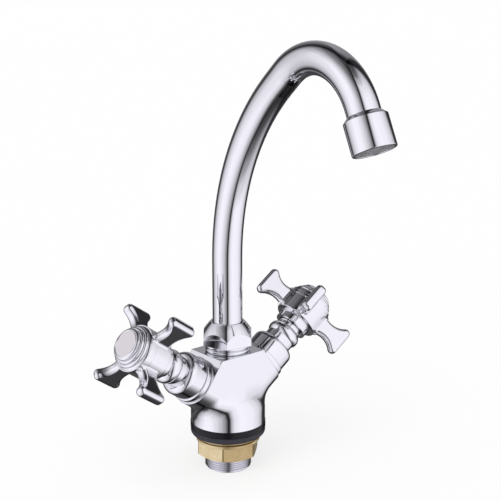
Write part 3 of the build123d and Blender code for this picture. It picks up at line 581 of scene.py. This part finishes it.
class FAUCET_OT_nut(bpy.types.Operator):
    """Make the back nut: a sand-cast hexagon, its foot turned off, under a round collar and boss"""
    bl_idname = "faucet.nut"
    bl_label = "Back nut"

    def execute(self, context):
        low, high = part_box("back_nut")
        bore, boss, collar_top, segments = 15.52 * MM, 18.6 * MM, -2.5 * MM, 240
        # the hexagon is turned first, with the cone at its foot, and then its six flats are cut
        blank = NUT_CORNER + 0.1 * MM
        drop = (NUT_CORNER - NUT_FLAT) * tan(radians(30))
        shape = turn([(bore, low.z), (NUT_FLAT, low.z), (blank, low.z + drop), (blank, NUT_HEX_TOP),
                      (bore, NUT_HEX_TOP)], segments)
        for side in range(6):
            angle = NUT_TURN + radians(30 + 60 * side)
            normal = Vector((cos(angle), sin(angle), 0))
            cut = bmesh.ops.bisect_plane(shape, geom=shape.verts[:] + shape.edges[:] + shape.faces[:],
                                         plane_co=normal * NUT_FLAT, plane_no=normal, clear_outer=True)
            rim = [edge for edge in cut["geom_cut"] if isinstance(edge, bmesh.types.BMEdge)]
            bmesh.ops.contextual_create(shape, geom=rim)
        upright = [edge for edge in shape.edges
                   if all(hypot(vert.co.x, vert.co.y) > NUT_CORNER - 0.2 * MM for vert in edge.verts)
                   and abs(edge.verts[0].co.z - edge.verts[1].co.z) > 5 * MM]
        bmesh.ops.bevel(shape, geom=upright, offset=0.5 * MM, affect="EDGES", segments=3, profile=0.5, material=-1)

        # the collar's bore is a hair wider, so that the two closed shells share no edge
        collar, collar_bore = NUT_CORNER - 0.1 * MM, bore + 0.02 * MM
        turn([(collar_bore, NUT_HEX_TOP), (collar - 0.2 * MM, NUT_HEX_TOP), (collar, NUT_HEX_TOP + 0.2 * MM),
              (collar, collar_top - 0.35 * MM), (collar - 0.1 * MM, collar_top - 0.1 * MM),
              (collar - 0.35 * MM, collar_top), (boss, collar_top), (boss, high.z), (collar_bore, high.z)],
             segments, shape)
        smooth(new_piece("hexagon_nut", shape, "mixer", FINISHES["brass"], ["back_nut"]), 24)
        return {"FINISHED"}


def arm_root(off_arm, base, half, fillet):
    """Radius of a hub at an angle off an arm's middle: its round wall, or the fillet that runs into the arm."""
    reach = sqrt((base + fillet) ** 2 - (half + fillet) ** 2)
    if off_arm > atan2(half + fillet, reach):
        return base
    if off_arm < atan2(half, reach):
        return reach / cos(off_arm)
    along = reach * cos(off_arm) + (half + fillet) * sin(off_arm)
    return along - sqrt(max(0.0, along ** 2 - (base + fillet) ** 2 + fillet ** 2))


def flare(loop, base, height, fillet):
    """Carry one ring of a hub out into the four arms, as far as they reach at its height. Sizes are in mm."""
    arm_height, half_width, half_thickness, edge_round = 84.25, 7.15, 3.68, 2.8
    run_out, least = 1.6, 0.05
    beyond = abs(height - arm_height) - (half_width - edge_round)
    half = half_thickness - edge_round + sqrt(max(0.0, edge_round ** 2 - max(0.0, beyond) ** 2))
    ease = max(0.0, 1 - max(0.0, beyond - edge_round) / run_out)
    for vert in loop:
        off_arm = (degrees(atan2(vert.co.y, vert.co.x)) - ARM_ROLL + 45) % 90 - 45
        radius = arm_root(radians(abs(off_arm)), base, max(least, half * ease), max(least, fillet * sqrt(ease)))
        vert.co.xy = vert.co.xy.normalized() * radius * MM


class FAUCET_OT_hubs(bpy.types.Operator):
    """Give each cross handle its barrel, from the crown to a rim behind the arms, with the arms' fillets"""
    bl_idname = "faucet.hubs"
    bl_label = "Handle hubs"

    def execute(self, context):
        detail = context.scene.faucet_detail
        # mm along the valve's axis
        neck_foot, neck_top, rim, crown_foot, crown_end = 70.5, 72.0, 75.0, 88.45, 93.0
        # mm from the axis
        neck, wall, ring_wall = 11.9, detail.hub_radius / MM, 15.95
        root_round, rim_round, wall_steps, ring_steps = 0.6, 0.45, 24, 9
        rise = (crown_foot - rim - rim_round) / wall_steps
        profile = [(neck - root_round, neck_foot), (neck, neck_top)]
        profile += arc((neck + root_round, rim - root_round - 0.01), root_round, 180, 95, 5)
        profile += arc((wall - rim_round, rim + rim_round), rim_round, -85, 0, 5)
        profile += [(wall, rim + rim_round + rise * step) for step in range(1, wall_steps)]
        profile += [(ring_wall, crown_foot + 0.05 + (crown_end - crown_foot) * step / ring_steps)
                    for step in range(ring_steps + 1)]
        for side, sign in SIDES.items():
            shape = bmesh.new()
            rings = loft(shape, [(radius * MM, height * MM) for radius, height in profile], 360)
            for (base, height), loop in zip(profile, rings):
                if height > rim:
                    flare(loop, base, height, detail.hub_fillet / MM)
            stand_on_valve(shape, sign)
            piece = new_piece(f"{side}_hub_barrel", shape, f"{side}_handle_set", FINISHES["cast"])
            smooth(piece, 32)
        return {"FINISHED"}


class FAUCET_OT_caps(bpy.types.Operator):
    """Make the two index caps: a finely ridged rim, a polished border and a bare satin disc"""
    bl_idname = "faucet.caps"
    bl_label = "Index caps"

    def execute(self, context):
        teeth = context.scene.faucet_detail.cap_teeth
        foot, rim_radius, ridge, satin_radius = CAP_FACE - 2.2 * MM, 10.75, 0.15, 9.0 * MM
        # radius and rise in mm: a spigot, a ledge on the crown, the ridged rim and a domed border
        profile = [(9.0, 0.0), (9.0, 2.2), (10.45, 2.2), (rim_radius, 2.45), (rim_radius, 3.7), (10.45, 4.1),
                   (10.0, 4.42), (9.5, 4.55)]
        for side, sign in SIDES.items():
            shape = bmesh.new()
            rings = loft(shape, [(radius * MM, foot + rise * MM) for radius, rise in profile], 4 * teeth)
            for loop in rings[3:5]:
                for vert in loop[1::4]:
                    vert.co.xy *= 1 + ridge / rim_radius
            # a fine groove parts the border from the disc
            top = max(shape.faces, key=lambda face: face.calc_center_median().z)
            for thickness, depth in ((0.15, 0.0), (0.35, -0.4), (0.35, 0.38)):
                bmesh.ops.inset_region(shape, faces=[top], thickness=thickness * MM, depth=depth * MM)
            bmesh.ops.poke(shape, faces=[top])
            stand_on_valve(shape, sign)
            cap = new_piece(f"{side}_cap_rim", shape, f"{side}_handle_set", FINISHES["cast"],
                            [f"{side}_index_cap"])
            cap.data.materials.append(FINISHES["satin"])
            axis = Vector((sign * cos(VALVE_TILT), 0, sin(VALVE_TILT)))
            for face in cap.data.polygons:
                height = (face.center - VALVE_ORIGIN).dot(axis)
                radius = ((face.center - VALVE_ORIGIN) - axis * height).length
                if height > foot + 4.3 * MM and radius < satin_radius:
                    face.material_index = 1
            smooth(cap, 28)
        return {"FINISHED"}


class FAUCET_OT_screen(bpy.types.Operator):
    """Make the aerator's housing with its flat lip, and the ringed screen in its mouth"""
    bl_idname = "faucet.screen"
    bl_label = "Aerator"

    def execute(self, context):
        low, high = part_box("aerator_housing")
        axis = Vector((-sin(OUTLET_LEAN) * sin(OUTLET_TURN), -sin(OUTLET_LEAN) * cos(OUTLET_TURN),
                       -cos(OUTLET_LEAN)))
        length, wall, bore, mouth = 19.6 * MM, 13.1 * MM, 11.95 * MM, 11.3 * MM
        head = (low + high) / 2 - axis * length / 2
        stand = Matrix.Translation(head) @ axis.to_track_quat("Z", "Y").to_matrix().to_4x4()

        shoulder, lip, lip_inside = 0.8 * MM, 0.55 * MM, 0.2 * MM
        profile = arc((wall - shoulder, shoulder), shoulder, -90, 0, 5)
        profile += arc((wall - lip, length - lip), lip, 0, 90, 6)
        profile += arc((mouth + lip_inside, length - lip_inside), lip_inside, 90, 180, 4)
        profile += [(mouth, length - 1.9 * MM), (bore, length - 2.0 * MM), (bore, 0.0)]
        housing = turn(profile, 192)
        bmesh.ops.transform(housing, matrix=stand, verts=housing.verts)
        smooth(new_piece("aerator_shell", housing, "spout", FINISHES["tube"], ["aerator_housing"]), 40)

        # a cup whose floor is set back, crossed by round wires on twelve ribs
        face, floor_depth = length - 0.45 * MM, 0.7 * MM
        pitch, wire = context.scene.faucet_detail.screen_pitch, 0.36 * MM
        cup = [(0.0, face - 6 * MM), (bore - 0.1 * MM, face - 6 * MM), (bore - 0.1 * MM, length - 2.1 * MM),
               (mouth - 0.1 * MM, length - 2.1 * MM), (mouth - 0.1 * MM, face), (mouth - 0.4 * MM, face),
               (mouth - 0.5 * MM, face - floor_depth), (0.0, face - floor_depth)]
        screen = turn(cup, 120)
        for step in range(1, ceil((mouth - 0.6 * MM) / pitch)):
            turn(arc((step * pitch, face - 0.45 * MM), wire, 0, 315, 7), 96, screen)
        bmesh.ops.create_uvsphere(screen, u_segments=24, v_segments=12, radius=0.6 * MM,
                                  matrix=Matrix.Translation((0, 0, face - 0.5 * MM)))
        ribs = 12
        for rib in range(ribs):
            bar = bmesh.ops.create_cube(screen, size=1.0)
            bmesh.ops.scale(screen, verts=bar["verts"], vec=(mouth - 1.0 * MM, 0.3 * MM, 0.5 * MM))
            bmesh.ops.translate(screen, verts=bar["verts"], vec=(mouth / 2, 0, face - 0.65 * MM))
            bmesh.ops.rotate(screen, verts=bar["verts"], cent=(0, 0, 0),
                             matrix=Matrix.Rotation(2 * pi * rib / ribs, 3, "Z"))
        bmesh.ops.transform(screen, matrix=stand, verts=screen.verts)
        smooth(new_piece("aerator_screen", screen, "spout", FINISHES["grey"], ["aerator_insert"]), 40)
        return {"FINISHED"}


# ---------------------------------------------------------------- stage
def matt_sweep():
    """Matt white paper sweep: takes the soft shadow, and shows the camera mostly its own even white."""
    material, tree = new_material("Matt white sweep")
    paper = add(tree, "ShaderNodeBsdfPrincipled", {
        "Base Color": linear("#fdfdfd"), "Roughness": 0.9, "Specular IOR Level": 0.0})
    white = add(tree, "ShaderNodeEmission", {"Color": (1, 1, 1, 1), "Strength": 1.0})
    seen = add(tree, "ShaderNodeLightPath")
    share = add(tree, "ShaderNodeMath", {0: seen.outputs["Is Camera Ray"], 1: 0.7}, operation="MULTIPLY")
    shown = add(tree, "ShaderNodeMixShader", {0: share.outputs[0], 1: paper.outputs["BSDF"], 2: white.outputs[0]})
    add(tree, "ShaderNodeOutputMaterial", {"Surface": shown.outputs[0]})
    return material


def tones(levels, start, full):
    """A ramp's stops from (degrees, grey level 0..255), for a ramp that spans full degrees from start."""
    return [((angle - start) / full, "#" + 3 * f"{grey:02x}") for angle, grey in levels]


def light_tent(stage):
    """A light tent for the mirrors: a white wall on each side of a leaning slot for the camera, dark gaps behind
    the walls, a grey backdrop and a dark roof and table. The camera sees white, and matt surfaces get even light."""
    world = bpy.data.worlds.new("Light tent")
    world.use_nodes = True
    tree = world.node_tree
    tree.nodes.clear()

    # which way a mirrored ray looks: across the tent from the slot, in radians, and up
    direction = add(tree, "ShaderNodeTexCoord").outputs["Generated"]
    turned = add(tree, "ShaderNodeVectorRotate", {"Vector": direction, "Angle": -stage.slot_azimuth},
                 rotation_type="Z_AXIS")
    parts = add(tree, "ShaderNodeSeparateXYZ", {0: turned.outputs[0]}).outputs
    azimuth = add(tree, "ShaderNodeMath", {0: parts["Y"], 1: parts["X"]}, operation="ARCTAN2").outputs[0]
    lean = add(tree, "ShaderNodeMath", {0: parts["Z"]}, operation="ARCSINE").outputs[0]
    across = add(tree, "ShaderNodeMath", {0: lean, 1: stage.slot_lean, 2: azimuth},
                 operation="MULTIPLY_ADD").outputs[0]
    round_tent = add(tree, "ShaderNodeMapRange", {
        "Value": across, "From Min": -pi, "From Max": pi}).outputs["Result"]
    height = add(tree, "ShaderNodeMapRange", {
        "Value": lean, "From Min": -pi / 2, "From Max": pi / 2}).outputs["Result"]

    walls = add(tree, "ShaderNodeValToRGB", {"Fac": round_tent}, stops=tones((
        (-180, 150), (-160, 120), (-146, 70), (-134, 50), (-127, 150), (-116, 200), (-96, 236), (-76, 255),
        (-56, 252), (-40, 232), (-26, 205), (-14, 165), (-6, 112), (-2, 38), (2, 34), (5, 110), (10, 196),
        (20, 240), (40, 255), (76, 250), (100, 232), (118, 200), (127, 120), (133, 44), (150, 48), (160, 130),
        (180, 150)), -180, 360))
    left = add(tree, "ShaderNodeValToRGB", {"Fac": height}, stops=tones((
        (-84, 60), (-76, 110), (-70, 188), (-60, 226), (-46, 250), (-20, 255), (24, 255), (38, 228), (48, 190),
        (58, 140), (68, 118), (78, 76), (90, 66)), -90, 180))
    right = add(tree, "ShaderNodeValToRGB", {"Fac": height}, stops=tones((
        (-84, 60), (-72, 76), (-64, 110), (-56, 160), (-46, 222), (-36, 255), (40, 255), (54, 240), (64, 190),
        (71, 110), (78, 80), (90, 66)), -90, 180))
    low_back = add(tree, "ShaderNodeValToRGB", {"Fac": height}, stops=tones((
        (-88, 60), (-60, 130), (-46, 150), (-36, 120), (-12, 120), (-4, 210), (4, 255)), -90, 180))

    rightwards = add(tree, "ShaderNodeMapRange", {"Value": across, "From Min": -0.1, "From Max": 0.2})
    level = add(tree, "ShaderNodeMix", {
        "Factor": rightwards.outputs["Result"], FIRST: left.outputs["Color"], SECOND: right.outputs["Color"],
    }, data_type="RGBA")
    from_slot = add(tree, "ShaderNodeMath", {0: across}, operation="ABSOLUTE")
    behind = add(tree, "ShaderNodeMapRange", {"Value": from_slot.outputs[0], "From Min": 2.55, "From Max": 2.85})
    shaded = add(tree, "ShaderNodeMix", {
        "Factor": behind.outputs["Result"], FIRST: level.outputs[MIXED], SECOND: low_back.outputs["Color"],
    }, data_type="RGBA", blend_type="DARKEN")
    tent = add(tree, "ShaderNodeMix", {
        "Factor": 1.0, FIRST: walls.outputs["Color"], SECOND: shaded.outputs[MIXED],
    }, data_type="RGBA", blend_type="MULTIPLY")
    cloth = add(tree, "ShaderNodeMix", {
        "Factor": 1.0, FIRST: tent.outputs[MIXED], SECOND: linear(stage.tint),
    }, data_type="RGBA", blend_type="MULTIPLY")

    rays = add(tree, "ShaderNodeLightPath").outputs
    mirrored = add(tree, "ShaderNodeBackground", {"Color": cloth.outputs[MIXED], "Strength": 1.25})
    even = add(tree, "ShaderNodeBackground", {"Color": (1, 1, 1, 1), "Strength": stage.sky})
    white = add(tree, "ShaderNodeBackground", {"Color": (1, 1, 1, 1), "Strength": 1.0})
    inner = add(tree, "ShaderNodeMixShader", {0: rays["Is Glossy Ray"], 1: even.outputs[0], 2: mirrored.outputs[0]})
    outer = add(tree, "ShaderNodeMixShader", {0: rays["Is Camera Ray"], 1: inner.outputs[0], 2: white.outputs[0]})
    add(tree, "ShaderNodeOutputWorld", {"Surface": outer.outputs[0]})
    return world


class FAUCET_OT_stage(bpy.types.Operator):
    """Set up the pale floor, the light tent and the camera"""
    bl_idname = "faucet.stage"
    bl_label = "Stage"

    def execute(self, context):
        stage = context.scene.faucet_stage
        scene = context.scene

        floor_radius = 30.0
        shape = bmesh.new()
        edge = ring(shape, floor_radius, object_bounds()[0][2], 64)
        bmesh.ops.contextual_create(shape, geom=edge)
        mesh = bpy.data.meshes.new("studio_floor")
        shape.to_mesh(mesh)
        shape.free()
        floor = bpy.data.objects.new("studio_floor", mesh)
        scene.collection.objects.link(floor)
        floor.data.materials.append(matt_sweep())
        floor.visible_glossy = False
        floor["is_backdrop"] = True

        key = bpy.data.objects.new("soft_key", bpy.data.lights.new("soft_key", "SUN"))
        key.data.energy = stage.key
        key.data.angle = radians(60)
        key.rotation_euler = Vector((0.75, 0.35, -1.0)).to_track_quat("-Z", "Y").to_euler()
        key.visible_glossy = False
        scene.collection.objects.link(key)
        scene.world = light_tent(stage)

        camera = bpy.data.objects.new("camera", bpy.data.cameras.new("camera"))
        camera.data.lens = stage.lens
        camera.data.sensor_width = 36
        camera.data.clip_start = 0.01
        camera.location = CAMERA_PLACE
        camera.rotation_euler = Vector(CAMERA_AIM).to_track_quat("-Z", "Y").to_euler()
        scene.collection.objects.link(camera)
        scene.camera = camera
        scene.view_settings.view_transform = "Standard"
        return {"FINISHED"}


# ---------------------------------------------------------------- panel and run
class FAUCET_PT_panel(bpy.types.Panel):
    """Lists the tap's sizes, colours and pieces"""
    bl_label = "Two-handle faucet"
    bl_idname = "FAUCET_PT_panel"
    bl_space_type = "VIEW_3D"
    bl_region_type = "UI"
    bl_category = "Faucet"

    def draw(self, context):
        for group in (context.scene.faucet_look, context.scene.faucet_detail, context.scene.faucet_stage):
            box = self.layout.box()
            for name in group.bl_rna.properties.keys():
                if name not in ("rna_type", "name"):
                    box.prop(group, name)
        for operator in OPERATORS:
            self.layout.operator(operator.bl_idname)


GROUPS = {"faucet_look": FaucetLook, "faucet_detail": FaucetDetail, "faucet_stage": FaucetStage}
OPERATORS = (FAUCET_OT_finishes, FAUCET_OT_shank, FAUCET_OT_gasket, FAUCET_OT_nut, FAUCET_OT_hubs, FAUCET_OT_caps,
             FAUCET_OT_screen, FAUCET_OT_stage)


def register():
    """Add the classes and hang the settings on the scene."""
    for name, group in GROUPS.items():
        bpy.utils.register_class(group)
        setattr(bpy.types.Scene, name, PointerProperty(type=group))
    for item in (*OPERATORS, FAUCET_PT_panel):
        bpy.utils.register_class(item)


def unregister():
    """Take back all that register added."""
    for item in (FAUCET_PT_panel, *reversed(OPERATORS)):
        bpy.utils.unregister_class(item)
    for name, group in GROUPS.items():
        delattr(bpy.types.Scene, name)
        bpy.utils.unregister_class(group)


def main():
    """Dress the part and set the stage."""
    register()
    bpy.ops.faucet.finishes()
    bpy.ops.faucet.shank()
    bpy.ops.faucet.gasket()
    bpy.ops.faucet.nut()
    bpy.ops.faucet.hubs()
    bpy.ops.faucet.caps()
    bpy.ops.faucet.screen()
    bpy.ops.faucet.stage()


if __name__ == "__main__":
    main()
